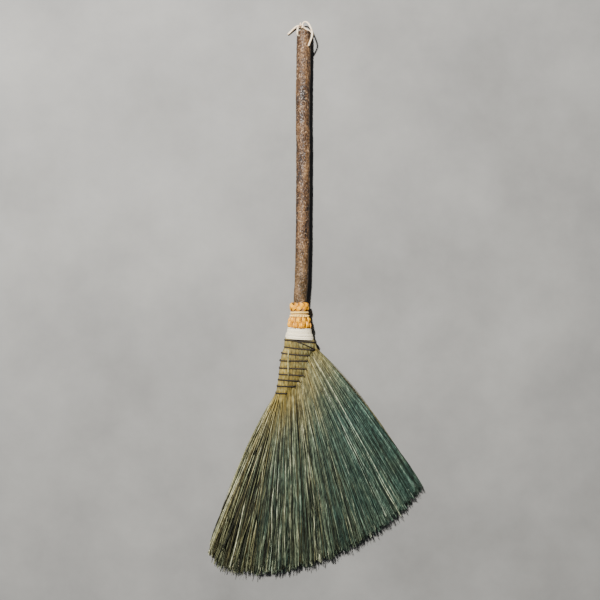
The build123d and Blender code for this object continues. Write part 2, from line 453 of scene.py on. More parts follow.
LOOP_STRAND_B = [
    (22.8, 464.0, 3.0),
    (22.2, 469.5, 3.6),
    (15.5, 473.5, 4.6),
    (9.0, 477.0, 5.8),
    (6.1, 478.2, 6.6),
]
SHORT_END = [
    (4.4, 479.0, 7.6),
    (-0.4, 481.0, 6.9),
    (-5.9, 479.6, 4.6),
    (-11.2, 475.4, 3.2),
    (-16.0, 470.9, 2.3),
    (-20.6, 466.6, 2.0),
]
LONG_END = [
    (5.0, 482.6, 7.7),
    (7.6, 486.0, 9.8),
    (12.3, 485.4, 13.6),
    (16.6, 479.6, 18.0),
    (19.2, 472.6, 22.3),
    (21.3, 465.6, 26.4),
    (22.6, 458.2, 28.6),
    (20.6, 451.6, 28.2),
    (18.0, 445.2, 26.8),
    (15.3, 439.2, 25.3),
]


def spline_points(route):
    """Points along the smooth line that has a route's points as its control points."""
    curve = bpy.data.curves.new("route", "CURVE")
    curve.dimensions = "3D"
    spline = curve.splines.new("NURBS")
    spline.points.add(len(route) - 1)
    for point, corner in zip(spline.points, route):
        point.co = (*corner, 1)
    spline.order_u = 3
    spline.use_endpoint_u = True
    spline.resolution_u = 10
    holder = bpy.data.objects.new("route", curve)
    line = bpy.data.meshes.new_from_object(holder)
    points = array([vertex.co[:] for vertex in line.vertices])
    bpy.data.objects.remove(holder)
    bpy.data.meshes.remove(line)
    return points


def lace(name, route, body, node, out_of, taper=TIP_TAPER):
    """A flat leather lace along a route, its broad side turned away from the point out_of."""
    points = spline_points(route)
    up = unit(unit(points - np.asarray(out_of)) + (0, 0, 1.3))
    along = reach(points)
    in_hole = ease(np.linalg.norm(np.cross(points - HOLE_MIDDLE, HOLE_AXIS), axis=1), 3.0, 1.0)
    tip = ease(along, along[-1] - TIP_LENGTH, along[-1])
    width = LACE_WIDTH / 2 * (1 - HOLE_SQUEEZE * in_hole) * (1 - taper * tip)
    rings = tube_rings(points, width, LACE_SIDES, up=up)
    thin = ((rings - points[:, None]) * up[:, None]).sum(-1, keepdims=True) * up[:, None]
    rings = rings - thin * (1 - LACE_FLATNESS)
    piece = new_mesh(name, "leather_lace", rings.reshape(-1, 3), tube_faces(len(rings), LACE_SIDES), body)
    rounding = piece.modifiers.new("round", "SUBSURF")
    rounding.levels = rounding.render_levels = 1
    leather_material(piece, "pale_leather_" + name)
    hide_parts(node)


def thong_knot():
    """An overhand knot: a lace wound through itself, drawn tight round the meeting point."""
    t = linspace(0, TAU, 120, endpoint=False)
    line = stack([
        KNOT_WIDTH * (sin(t) + 2 * sin(2 * t)),
        KNOT_LENGTH * sin(3 * t),
        KNOT_WIDTH * (cos(t) - 2 * cos(2 * t)),
    ], -1)
    tilt = Matrix.Rotation(math.radians(25), 3, "X") @ Matrix.Rotation(math.radians(20), 3, "Y")
    line = line @ array(tilt).T + KNOT
    build = Builder()
    build.add(line, KNOT_LACE, 10, closed=True, up=unit(line - KNOT), flat=0.75)
    build.add(KNOT_STUB, (1.3, 1.25, 0.95), 10)
    leather_material(build.piece("overhand_knot", "leather_lace", "thong_knot", "thong"), "pale_leather_knot")


def make_thong():
    in_hole = [tuple(HOLE_MIDDLE + HOLE_AXIS * along) for along in HOLE_REACH]
    loop = LOOP_STRAND_A + in_hole + LOOP_STRAND_B
    lace("lace_loop", loop, "thong", "thong_loop", HOLE_MIDDLE + (0, 12, 0), taper=0)
    lace("lace_short_end", SHORT_END, "thong", "thong_short_end", (-8, 476, -30))
    lace("lace_long_end", LONG_END, "thong_end", "thong_long_end", (4, 462, 8))
    thong_knot()


# ---- the stick

# the stick's x, y, height and radius
STICK_STATIONS = [
    (1.0, -14, NECK_HEIGHT, 10.4),
    (1.2, 0, NECK_HEIGHT, 11.2),
    (3.5, 40, 18.0, 11.6),
    (5.0, 90, 17.5, 11.9),
    (5.6, 150, 16.9, 11.8),
    (6.3, 245, 15.9, 11.9),
    (6.1, 350, 14.8, 12.3),
    (7.6, 468, 13.6, 12.4),
]
STICK_STEP = 1.15
STICK_SIDES = 88
END_ROUNDING = 1.6
# how far each ring of the sawn end is pushed out, and its share of the stick's radius
END_RINGS = [(0.0, 1.0), (0.7, 0.985), (1.3, 0.93), *((END_ROUNDING, share) for share in (0.86, 0.55, 0.22))]
SAWN_DEPTH = 0.9
CRACK_DEPTH = 0.45
BRANCH_STUB = array((6.2, 42.5, 25.6))
STUB_HEIGHT = 2.4
STUB_RADIUS = 6.0
HOLLOW_DEPTH = 2.2
HOLLOW_RADIUS = 2.0
DRILL_LENGTH = 50.0


def stick_middle(y):
    """x, height and radius of the stick at y, smoothly through its stations."""
    stations = array(STICK_STATIONS)
    slopes = np.gradient(stations, stations[:, 1], axis=0)
    index = clip(np.searchsorted(stations[:, 1], y) - 1, 0, len(stations) - 2)
    start, end = stations[index], stations[index + 1]
    span = (end - start)[:, 1:2]
    t = (y[:, None] - start[:, 1:2]) / span
    cubic = (2 * t**3 - 3 * t**2 + 1) * start + (t**3 - 2 * t**2 + t) * (slopes[index] * span)
    cubic = cubic + (3 * t**2 - 2 * t**3) * end + (t**3 - t**2) * (slopes[index + 1] * span)
    return cubic[:, 0], cubic[:, 2], cubic[:, 3]


def bark_relief(x, y, z):
    """Height of the bark's humps in millimetres, and distances to its two nearest scale middles."""
    humps = noise.noise((x * 0.09, y * 0.045 + 40, z * 0.09))
    bumps = noise.noise((x * 0.4, y * 0.26, z * 0.4))
    near = noise.voronoi((x * 0.3 + bumps * 0.3, y * 0.19, z * 0.3 + humps * 0.3))[0]
    return 0.55 * humps + 0.45 * bumps, near[0], near[1]


def make_stick():
    """The bark stick, with its branch stub, its sawn end and the cross hole for the lace."""
    top = STICK_STATIONS[-1][1]
    ys = np.arange(STICK_STATIONS[0][1], top - END_ROUNDING, STICK_STEP)
    x, z, radius = stick_middle(ys)
    outward = radial(np.arange(STICK_SIDES) / STICK_SIDES * TAU)
    middle = stack([x, ys, z], -1)
    surface = middle[:, None] + outward * radius[:, None, None]
    measures = array([[bark_relief(*point) for point in ring] for ring in surface.tolist()])
    relief, nearest, second = np.moveaxis(measures, -1, 0)
    relief = relief - CRACK_DEPTH * ease(second - nearest, 0.16, 0.0)
    stub = np.linalg.norm((surface - BRANCH_STUB) * (1, 0.8, 1), axis=-1)
    swell = STUB_HEIGHT * bell(stub, STUB_RADIUS) - HOLLOW_DEPTH * bell(stub, HOLLOW_RADIUS)
    scar = bell(stub, 2.1) + 0.35 * bell(stub - STUB_RADIUS, 1.1)
    surface = surface + outward * (relief + swell)[..., None]
    caps = []
    for push, share in END_RINGS:
        ring = middle[-1] + (surface[-1] - middle[-1]) * share
        ring[:, 1] = ys[-1] + STICK_STEP * 0.5 + push
        caps.append(ring)
    rings = concatenate([surface, stack(caps)])
    end = np.zeros((len(END_RINGS), STICK_SIDES))
    stick = new_mesh("bark_stick", "bark", rings.reshape(-1, 3), tube_faces(len(rings), STICK_SIDES),
                     relief=concatenate([relief * 0.8 + 0.5, end + 0.5]).ravel(),
                     olive=0.3 * ease(rings[..., 1], 130.0, 20.0).ravel(),
                     scar=concatenate([scar, end]).ravel())
    bark_material(stick, "bark")
    sawn_material(stick, "sawn_end")
    sawn_from = place((0, top - SAWN_DEPTH, 0))[1]
    for face in stick.data.polygons:
        if face.center.y > sawn_from:
            face.material_index = 1
            face.use_smooth = False
    drill_hole(stick)
    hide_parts("handle_stick")


def drill_hole(stick):
    """Cuts the lace's hole through the stick."""
    bpy.ops.mesh.primitive_cylinder_add(vertices=32, radius=HOLE_RADIUS * MM, depth=DRILL_LENGTH * MM)
    drill = bpy.context.object
    drill.location = place(HOLE_MIDDLE)
    drill.rotation_euler = Vector(HOLE_AXIS).to_track_quat("Z", "Y").to_euler()
    cut = stick.modifiers.new("hole", "BOOLEAN")
    cut.operation = "DIFFERENCE"
    cut.object = drill
    cut.solver = "EXACT"
    bpy.context.view_layer.objects.active = stick
    bpy.ops.object.modifier_apply(modifier=cut.name)
    bpy.data.objects.remove(drill)


# ---- collars and bindings

# y of the upper and lower sides
UPPER_PLAIT = (-1.0, -16.8)
LOWER_PLAIT = (-26.2, -45.4)
PLAIT_STRANDS = 3
PLAIT_LOOPS = 3
PLAIT_LANES = 4
PLAIT_STALK = 0.95
PLAIT_RADIUS = 15.6
PLAIT_TURN = math.pi
PAIRS = 20
PAIR_STALK = 1.3
BAND_STALK = 1.2
# half width and half height at the stick's end
PAIR_RING = (14.8, 14.6)
BAND_RING = (14.3, 14.1)
BINDING_LEAN = 0.062
# y, half width, half height, cord radius, and lumps on each turn
WAIST_TURNS = [(-19.0, 16.2, 16.2, 1.95, 0), (-22.4, 15.1, 15.1, 1.0, 0), (-24.6, 16.6, 16.6, 1.45, 19)]
FINE_LUMPS = 60
BINDING_TOP = -45.3
BINDING_LENGTH = 19.0
BINDING_SPAN = (-46.0, -64.2)
BINDING_SEAM = -55.0


def neck_ring(angle, y, wide, high, lean=0.0):
    """Points round the neck: angle from +X over the top, half width and half height."""
    x = wide * cos(angle)
    return stack([x, y - lean * x, NECK_HEIGHT + high * sin(angle)], -1)


def upper_plait():
    """A plait of three strands, each of four stalks, worked round the neck in long loops."""
    high, low = UPPER_PLAIT
    middle, half = (high + low) / 2, (high - low) / 2
    swing = half - PLAIT_LANES * PLAIT_STALK + 0.3
    angle = linspace(0, TAU, 420, endpoint=False)
    build = Builder()
    for strand in range(PLAIT_STRANDS):
        phase = PLAIT_LOOPS * angle + strand * TAU / PLAIT_STRANDS + PLAIT_TURN
        slope = swing * PLAIT_LOOPS * cos(phase) / PLAIT_RADIUS
        tilt = np.sqrt(1 + slope**2)
        for lane in np.arange(PLAIT_LANES) - (PLAIT_LANES - 1) / 2:
            offset = lane * 1.72 * PLAIT_STALK
            y = middle + swing * sin(phase) + offset / tilt
            turn = angle - offset * slope / tilt / PLAIT_RADIUS
            belly = 1 - ((y - middle) / half) ** 2
            lift = 1.25 * sin(2 * phase + 0.3)
            radius = 13.6 + 1.5 * belly + lift - 0.28 * abs(lane)
            # Painted light: lighter where the stalk bulges outward, darker where it dips in; the rest is
            # random tone.
            tone = 0.48 + 0.28 * lift + rng.normal(0, 0.14) + 0.06 * sin(5 * angle + rng.uniform(0, TAU))
            path = neck_ring(turn, y, radius, radius)
            build.add(path, PLAIT_STALK, 8, tone, closed=True, up=radial(turn))
    plait = build.piece("upper_plaited_collar", "orange_stalks", "upper_stalk_plait")
    plait_material(plait, "orange_plait_upper")


def lower_ring(angle, share, ring, lift):
    """Points round the lower collar, share of the way down it, which widens towards the brush."""
    high, low = LOWER_PLAIT
    widening = ease(share, -0.2, 0.75)
    wide, tall = ring[0] + 3.9 * widening + lift, ring[1] + 2.0 * widening + lift
    return neck_ring(angle, high + (low - high) * share, wide, tall, BINDING_LEAN * share)


def lower_plait():
    """Upright stalk pairs woven over and under two bands of stalks, in two rows of small lumps."""
    build = Builder()
    share = linspace(0, 1, 40)
    for pair in range(PAIRS):
        sign = 1 if pair % 2 else -1
        wave = rng.uniform(0.7, 1.15) * sign * sin(TAU * share + rng.normal(0, 0.25))
        place_round = TAU * (pair + 0.5 + rng.uniform(-0.16, 0.16)) / PAIRS
        ends = abs(2 * share - 1) ** 6
        for lane in (-0.5, 0.5):
            angle = place_round + lane * 0.15 * (1 - 0.1 * abs(wave)) + 0.02 * wave
            path = lower_ring(angle, share, PAIR_RING, 1.3 * wave - 1.2 * ends)
            # Painted light: lighter where a pair bulges out over a band, darker where it dips under and at
            # its tucked-in ends.
            tone = 0.52 + 0.26 * wave - 0.3 * ends + rng.normal(0, 0.1)
            build.add(path, PAIR_STALK * (1 + 0.08 * wave), 8, tone, up=radial(angle))
    angle = linspace(0, TAU, 320, endpoint=False)
    for centre, sign in ((0.25, -1), (0.75, 1)):
        wave = cos(PAIRS / 2 * angle) * sign
        for lane in (-1, 0, 1):
            path = lower_ring(angle, centre + lane * 0.12, BAND_RING, 0.9 * wave - 0.25 * abs(lane))
            # Painted light: lighter where the band passes over the pairs, darker where it dips under them.
            tone = 0.38 + 0.24 * wave + rng.normal(0, 0.06)
            build.add(path, BAND_STALK, 8, tone, closed=True, up=radial(angle))
    plait = build.piece("lower_plaited_collar", "orange_stalks", "lower_stalk_plait")
    plait_material(plait, "orange_plait_lower")


def wound_cord(name, turns, node, slot, lean=0.0):
    """Closed turns of cord round the neck, each a little uneven. turns is like WAIST_TURNS."""
    build = Builder()
    angle = linspace(0, TAU, 240, endpoint=False)
    for y, wide, high, radius, lumps in turns:
        drift = 0.2 * sin(angle + rng.uniform(0, TAU)) + 0.1 * sin(3 * angle + rng.uniform(0, TAU))
        out = rng.uniform(-0.12, 0.12)
        path = neck_ring(angle, y + drift * radius, wide - radius + out, high - radius + out, lean)
        swell = 1 + (0.42 if lumps else 0.05) * sin(angle * (lumps or FINE_LUMPS) + rng.uniform(0, TAU))
        build.add(path, radius * swell, 10, 0.5 + rng.normal(0, 0.16), closed=True, up=radial(angle))
    return build.piece(name, slot, node)


def waist_cord():
    cord = wound_cord("waist_cord_turns", WAIST_TURNS, "waist_cord", "tan_cord")
    cord_material(cord, "tan_cord", (0.42, 0.22, 0.03), (1.00, 0.68, 0.2))


def white_binding():
    """White cord in two bands: fine turns above the seam, and thicker ones below it."""
    turns = []
    y, end = BINDING_SPAN
    while y > end:
        radius, step = (0.74, 1.1) if y > BINDING_SEAM else (0.98, 0.0)
        share = (BINDING_TOP - y) / BINDING_LENGTH
        turns.append((y, 21.4 + 3.4 * share - step, 16.9 + 0.7 * share - step, radius, 0))
        y -= 2 * radius * 0.98
    cord = wound_cord("white_cord_turns", turns, "white_binding", "white_cord", BINDING_LEAN)
    cord_material(cord, "white_cord", (0.56, 0.48, 0.31), (0.99, 0.91, 0.7))


# ---- the brush's outline

BUNDLES = 11
NECK_BOTTOM = -64.5
NECK_TOP_SPAN = (26.6, -25.0)
NECK_RIGHT = [(23.6, -65.0), (27.2, -69.0)]
WOVEN_BOTTOM = 2.6
WOVEN_LEFT = array([
    (-23.8, -61.6), (-25.6, -65.6), (-26.2, -81.0), (-32.8, -91.0),
    (-34.2, -104.0), (-35.3, -125.0), (-37.0, -138.0), (-40.2, -157.0),
])
# each row's y in its middle, its drop from left to right, and the x of its right end
TWINE_ROWS = [
    (-67.8, 3.6, 28.2), (-80.5, 5.0, 27.5), (-90.5, 4.6, 17.3),
    (-101.5, 0.8, 14.7), (-114.5, 1.8, 11.7), (-125.5, 1.8, 6.9),
    (-135.0, 1.8, -0.2), (-145.0, -0.5, -6.3), (-157.0, 0.0, -21.2),
]
# where each bundle's right side leaves the woven part, and the last one's left side
FIRST_EXIT = (28.8, -79.0)
LAST_EXITS = [(-27.5, -157.0), (-33.7, -157.0), (-40.2, -157.0)]
ROW_EXITS = [(right, middle - drop / 2) for middle, drop, right in TWINE_ROWS[1:]]
EXITS = array([FIRST_EXIT, *ROW_EXITS, *LAST_EXITS])
WOVEN_RIGHT = np.vstack([NECK_RIGHT, EXITS[:-3]])
# the tips lie on an arc, but for the last bundle's rounded corner
ARC_MIDDLE = array((-103.0, -65.0))
ARC_RADIUS = 404.0
TIP_ANGLES = [-38.7, -43.7, -48.7, -53.7, -58.7, -63.7, -68.7, -73.7, -78.7, -83.0, -87.0]
CORNER = [(-110.7, -468.9), (-139.0, -459.0), (-156.5, -439.0), (-154.5, -422.0)]
EDGE_BOWS = (6.4, 6.0)
# the brush's height, and the y where it has it
BRUSH_TOP = array([(31.5, -64.5), (29.5, -157), (28.5, -300), (26.0, -480)])
TWINE_SINK = 0.965
TWINE_GRIP = 2.4
PUFF = 1.028


def at_y(y, outline):
    """The first value of an outline's points where their second one is y. They go down in y."""
    return np.interp(-y, -outline[:, 1], outline[:, 0])


def tip_line(bundle, share):
    """The tips' outline across one bundle: share runs from its right side to its left one."""
    if bundle < BUNDLES - 1:
        angle = np.radians(between(TIP_ANGLES[bundle], TIP_ANGLES[bundle + 1], share))
        return ARC_MIDDLE + ARC_RADIUS * stack([cos(angle), sin(angle)], -1)
    start = np.radians(TIP_ANGLES[-1])
    corner = array([ARC_MIDDLE + ARC_RADIUS * array((cos(start), sin(start)))] + CORNER)
    far = reach(corner)
    share = clip(share, 0, 1) * far[-1]
    return stack([np.interp(share, far, corner[:, axis]) for axis in (0, 1)], -1)


def pinch(x, y):
    """How tightly the twine holds the stalks here: 1 under a row, 0 midway between rows."""
    tight = 0
    for middle, drop, right in TWINE_ROWS:
        left = at_y(middle, WOVEN_LEFT)
        row = middle - drop * ((x - left) / (right - left) - 0.5)
        tight = np.maximum(tight, bell(y - row, TWINE_GRIP))
    return tight


def fall_off(across, y):
    """The woven part's height away from its middle: 1 in the middle and less towards its sides."""
    rounding = 0.88 - 0.36 * ease(y, NECK_BOTTOM, -115.0)
    return np.sqrt(1 - rounding * abs(across) ** 3)


def section(left, right, top):
    """Middle and half size of the woven part, across it and in height."""
    return (left + right) / 2, (right - left) / 2, (top + WOVEN_BOTTOM) / 2, (top - WOVEN_BOTTOM) / 2


def woven_section(y):
    return section(at_y(y, WOVEN_LEFT), at_y(y, WOVEN_RIGHT), at_y(y, BRUSH_TOP))


def woven_point(x, y, height, inset):
    """A stalk's point in the woven part: x across, height from -1 at the floor side to 1."""
    x_middle, x_half, z_middle, z_half = woven_section(y)
    across = clip((x - x_middle) / (x_half - inset), -1, 1)
    puff = PUFF - (PUFF - TWINE_SINK) * pinch(x, y)
    x = x_middle + across * (x_half - inset) * puff
    z = z_middle + height * fall_off(across, y) * (z_half - inset) * puff
    return stack([x, y + 0 * across, z], -1)


def across_brush(bundle, share):
    """From 0 at the brush's right side to 1 at its left one."""
    return (bundle + share) / BUNDLES


def fan_point(bundle, share, along, height):
    """A fibre's point in the flare. share is across the bundle, along runs from exit to tip."""
    start = between(EXITS[bundle], EXITS[bundle + 1], share[..., None])
    end = tip_line(bundle, share)
    way = unit(end - start)
    normal = stack([-way[..., 1], way[..., 0]], -1)
    spread = across_brush(bundle, share)
    bow = EDGE_BOWS[0] * clip(1 - 5 * spread, 0, 1) ** 2
    bow = bow - EDGE_BOWS[1] * clip(5 * spread - 4, 0, 1) ** 2
    point = between(start, end, along[..., None]) + normal * (bow * 4 * along * (1 - along))[..., None]
    edge = 1 - 0.3 * abs(2 * spread - 1) ** 4
    thin = 1 - 0.16 * ease(along, 0.5, 1.0)
    base = WOVEN_BOTTOM * (1 - ease(along, 0.0, 0.15)) + 0.6
    gathered = 1 - 0.22 * (1 - ease(along, 0.0, 0.3))
    half = (at_y(point[..., 1], BRUSH_TOP) * edge * thin - base) / 2
    z = base + half + half * height * gathered
    return concatenate([point, z[..., None]], -1)


# ---- the brush's colours

def dye_level(bundle, share, along):
    """How green the brush is: pale near the neck and at the left edge, deep teal at the right."""
    spread = across_brush(bundle, share)
    side = 0.7 + 0.3 * ease(spread, 0.62, 0.1) - 0.42 * ease(spread, 0.85, 1.0)
    depth = ease(along, -0.05 + 0.06 * spread, 0.48)
    return side * (0.34 + 0.66 * depth)


def shade(bundle, share, along):
    """How much darker the middle of the brush is than its right side. Its left edge is lighter."""
    spread = across_brush(bundle, share)
    middle = ease(1 - abs(spread - 0.6) / 0.34, 0, 0.8)
    edge = ease(spread, 0.86, 1.0) * ease(along, 0.1, 0.4)
    return middle * (0.04 + 0.1 * ease(along, 0.35, 0.0)) - 0.1 * edge


def leftness(bundle):
    """0 for the dense bundles at the brush's right, 1 for the open and wavy ones at its left."""
    return ease(bundle, 4, 9)


def strand_values(tone, dye, warmth):
    """The strand attribute for a group of strands, from values that broadcast to one shape."""
    return clip(stack(np.broadcast_arrays(tone, dye, warmth), -1), 0.01, 1)


# ---- stalks and fibres

LAYERS = 7
LOCKS = 7
# stalks in each layer of a bundle, tufts on each stalk and fibres in each tuft
STALK_COLUMNS = [2, 3, 2, 2, 2, 3, 3, 5, 3, 3, 3]
TUFTS = [36, 24, 34, 34, 34, 17, 17, 11, 17, 17, 18]
FIBRES = [3, 3, 3, 3, 3, 4, 4, 4, 4, 4, 4]
STALK_RADIUS = 1.45
STALK_END = 0.42
WOVEN_STEPS = 40
FLARE_STEPS = 15
FIBRE_STEPS = 16
FIBRE_RADII = (0.38, 0.62)
TWIG_RADII = (0.3, 0.27, 0.22, 0.16)
STRAY_STEPS = 14
FLOOR_GAP = 0.25
BAKE_COLUMNS = 256


def stalk_table(bundle):
    """A bundle's stalks, in layers, with every other layer shifted by part of a stalk."""
    columns = STALK_COLUMNS[bundle]
    layer, column = np.meshgrid(np.arange(LAYERS), np.arange(columns), indexing="ij")
    count = layer.size
    shift = np.where(layer % 2, 0.22, -0.22) + rng.uniform(-0.05, 0.05, layer.shape)
    share = 0.5 + ((column + 0.5 + shift).ravel() / columns - 0.5) * 0.9
    straw = 0.22 + 0.3 * ease(across_brush(bundle, share), 0.5, 1.0)
    return Table(
        share=share,
        column=(column.ravel() + 0.5) / columns,
        height=layer.ravel() * 2 / (LAYERS - 1) - 1,
        warmth=straw * rng.uniform(0.5, 1.3, count),
        tone=rng.normal(0, 0.1, count),
        dye=rng.normal(0, 0.04, count),
    )


def lock_lines(locks):
    """The middles of a bundle's locks across it, and of a few more past its sides."""
    return (np.arange(-2, locks + 2) + 0.5 + rng.uniform(-0.25, 0.25, locks + 4)) / locks


def locked(bundle, share, inner):
    """Tuft places drawn towards the middles of a bundle's locks, most of all in its outer layers."""
    lines = lock_lines(LOCKS)
    if bundle == BUNDLES - 1:
        lines = lock_lines(2 * LOCKS)
    nearest = lines[abs(share[:, None] - lines[None]).argmin(1)]
    return between(share, nearest, (0.35 + 0.35 * leftness(bundle)) * (1 - 0.7 * inner))


def some(count, share):
    """True for about a share of count things, picked at random."""
    return rng.uniform(0, 1, count) < share


def picked(table, which=slice(None)):
    """Rows of a table of arrays, with every value in columns."""
    rows = {name: values[which] for name, values in vars(table).items()}
    return Table(**{name: values.reshape(len(values), -1) for name, values in rows.items()})


def tuft_table(bundle, stalks):
    """A bundle's tufts: the stalk that each leaves, where it starts and ends, its wave and colour."""
    number, left = TUFTS[bundle], leftness(bundle)
    stalk = np.repeat(np.arange(len(stalks.share)), number)
    count = len(stalk)
    rank = (np.arange(count) % number + rng.uniform(0.1, 0.9, count)) / number - 0.5
    height = stalks.height[stalk] * 0.94 + rng.normal(0, 0.11, count)
    inner = ease(1 - abs(height), 0.04, 0.48)
    share = locked(bundle, stalks.column[stalk] + rank * 1.15 / STALK_COLUMNS[bundle], inner)
    early = some(count, 0.6)
    start = np.where(early, rng.uniform(-0.03, 0.03, count), rng.uniform(0.03, 0.3, count))
    short = 0.2 * rng.uniform(0, 1, count) * some(count, 0.1)
    beyond = 0.035 * rng.uniform(0, 1, count) * some(count, 0.22)
    return Table(
        stalk=stalk,
        share=share,
        height=height,
        inner=inner,
        start=start,
        begin=between(stalks.share[stalk], share, np.where(early, 0.75, 0.0)),
        finish=1 - abs(rng.normal(0, 0.018, count)) - short + beyond,
        wave=rng.gamma(2.0, 0.38 + 0.37 * left, count),
        turns=rng.uniform(1.6 - 0.9 * left, 4.0 - 1.6 * left, count),
        phase=rng.uniform(0, 1, (count, 3)),
        tone=rng.normal(0, 0.21 + 0.06 * left, count) + 0.12 * (beyond > 0),
        lit=0.25 * some(count, 0.16) * (1 - inner),
        lit_at=rng.uniform(0.0, 1.0, count),
        dye=rng.normal(0, 0.09 + 0.03 * left, count) + stalks.dye[stalk],
        brown=0.11 * left * some(count, 0.1),
    )


def stalk_paths(bundle, share, height):
    """The stalks from under the white cord, down the woven part and on into the flare."""
    tops = between(*NECK_TOP_SPAN, across_brush(bundle, share))
    exit_x, exit_y = between(EXITS[bundle], EXITS[bundle + 1], share).T[..., None]
    t = linspace(0, 1, WOVEN_STEPS)
    y = between(NECK_BOTTOM + 2.2 - BINDING_LEAN * tops, exit_y, t)
    woven = woven_point(between(tops, exit_x, t), y, height, STALK_RADIUS)
    along = linspace(0, STALK_END, FLARE_STEPS + 1)[1:]
    flare = fan_point(bundle, *np.broadcast_arrays(share, along, height))
    shift = woven[:, -1:] - fan_point(bundle, share, 0 * share, height)
    flare += shift * (1 - ease(along, 0.0, 0.2))[:, None]
    path = concatenate([woven, flare], 1)
    for _ in range(3):
        path[:, 1:-1] = 0.5 * path[:, 1:-1] + 0.25 * (path[:, :-2] + path[:, 2:])
    taper = 1 - 0.85 * linspace(0, 1, FLARE_STEPS) ** 0.45
    radii = STALK_RADIUS * concatenate([np.ones(WOVEN_STEPS), taper])
    return path, np.broadcast_to(radii, path.shape[:2])


def stalk_group(bundle, stalks):
    """The stalks, with painted shade where the twine pinches them and deep inside the bundle, and greener
    further out.
    """
    path, radii = stalk_paths(bundle, stalks.share, stalks.height)
    shape = stalks.share.shape
    along = concatenate([np.full(WOVEN_STEPS, -0.1), linspace(0, STALK_END, FLARE_STEPS + 1)[1:]])
    woven = along < 0
    dye = dye_level(bundle, stalks.share, along) * 1.1 + 0.16 * woven + stalks.dye
    mottle = 0.13 * sin(path[..., 1] * rng.uniform(0.4, 0.9, shape) + rng.uniform(0, TAU, shape))
    tone = 0.47 + stalks.tone - 0.12 * ease(along, 0.0, 0.3)
    # Painted shade in the creases where the twine pinches the stalks.
    tone = tone + woven * (mottle - 0.34 * pinch(path[..., 0], path[..., 1]))
    # Painted shade: stalks deep inside the bundle are darker.
    tone = tone - 0.3 * ease(1 - abs(stalks.height), 0.1, 0.6)
    tone = tone - shade(bundle, stalks.share, abs(along))
    return path, radii, 8, strand_values(tone, dye, stalks.warmth * ease(along, 0.22, -0.05))


def fibre_paths(bundle, fibres, steps):
    """Fibres that leave a stalk at start and open out to their own tips. fray is side and height."""
    t = linspace(0, 1, steps)
    along = between(fibres.start, fibres.finish, t)
    open_out = t**1.1
    level = clip(between(fibres.level, fibres.tip_level, open_out), -1.0, 1.0)
    path = fan_point(bundle, between(fibres.begin, fibres.tip, open_out), along, level)
    grow = fibres.wave * (0.25 + 0.75 * along)
    leave = ease(t, 0.0, 0.15)
    bend = grow * sin(TAU * (fibres.turns * along + fibres.phase[:, :1])) * leave
    lift = grow * cos(TAU * (0.8 * fibres.turns * along + fibres.phase[:, 1:2])) * leave
    loose = 0.25 + 0.75 * ease(t, 0.0, 0.9)
    way = unit(path[:, -1:] - path[:, :1])
    normal = stack([-way[..., 1], way[..., 0]], -1)
    path[..., :2] += normal * (bend + fibres.fray[:, :1] * loose)[..., None]
    path[..., 2] += 0.7 * lift + fibres.fray[:, 1:] * loose
    return path, along


def tip_limits(bundle):
    """How far past its bundle's sides a fibre's tip may lie: not at the brush's own two sides."""
    low = 0.0 if bundle in (0, BUNDLES - 1) else -0.5
    return low, 1.0 if bundle == BUNDLES - 1 else 1.5


def fibre_group(bundle, stalks, tufts):
    """The fibres of the tufts: where they run, and the group of strands that they make."""
    left = leftness(bundle)
    tuft = picked(tufts, np.repeat(np.arange(len(tufts.share)), FIBRES[bundle]))
    stalk = picked(stalks, tuft.stalk[:, 0])
    count = len(tuft.share)
    fibres = Table(
        begin=tuft.begin,
        tip=reflected(tuft.share, *tip_limits(bundle)),
        level=stalk.height * 0.92,
        tip_level=tuft.height,
        start=tuft.start + rng.uniform(0, 0.03, (count, 1)),
        finish=tuft.finish - abs(rng.normal(0, 0.006, (count, 1))),
        phase=tuft.phase + rng.normal(0, 0.014, (count, 3)),
        fray=rng.normal(0, 1, (count, 2)) * (0.29 + 0.08 * left, 0.32),
        wave=tuft.wave * rng.uniform(0.85, 1.15, (count, 1)),
        turns=tuft.turns,
    )
    path, along = fibre_paths(bundle, fibres, FIBRE_STEPS)
    radii = rng.uniform(*FIBRE_RADII, (count, 1)) * (1 - 0.45 * linspace(0, 1, FIBRE_STEPS) ** 1.3)
    lit = tuft.lit * bell(along - tuft.lit_at, 0.11)
    ripple = sin(TAU * (2.6 * tuft.turns * along + tuft.phase[:, 2:]))
    tone = 0.49 + (tuft.tone + rng.normal(0, 0.13, (count, 1)))
    tone = tone + 0.12 * ripple + lit - (0.17 + 0.04 * left) * ease(along, 0.08, 0.6)
    # Painted shade: fibres deep inside the brush are darker, fading out at their tips.
    tone = tone - 0.42 * tuft.inner * (1 - 1.15 * ease(along, 0.86, 1.0))
    tone = tone - shade(bundle, tuft.begin, along)
    dye = dye_level(bundle, tuft.share, along) - lit + (tuft.dye + rng.normal(0, 0.05, (count, 1)))
    warmth = stalk.warmth * ease(along, 0.3, -0.05) + tuft.brown
    return fibres, (path, radii, 3, strand_values(tone, dye, warmth))


def twig_group(bundle, fibres, values):
    """The fine twigs that branch from half of a bundle's fibres near the tips."""
    on = np.flatnonzero(some(len(values), 0.5))
    twigs = picked(fibres, on)
    shape = twigs.begin.shape
    fork = rng.uniform(0.7, 0.92, shape)
    twigs.start = between(twigs.start, twigs.finish, fork)
    twigs.begin = between(twigs.begin, twigs.tip, fork**1.1)
    twigs.level = between(twigs.level, twigs.tip_level, fork**1.1)
    twigs.tip = reflected(twigs.begin + rng.normal(0, 0.04, shape), *tip_limits(bundle))
    twigs.finish = np.minimum(twigs.finish * rng.uniform(0.97, 1.015, shape), 1.02)
    twigs.tip_level = twigs.level + rng.normal(0, 0.08, shape)
    twigs.wave = twigs.wave * 0.3
    steps = len(TWIG_RADII)
    path, _ = fibre_paths(bundle, twigs, steps)
    return path, np.tile(TWIG_RADII, (len(on), 1)), 3, values[on][:, -steps:]


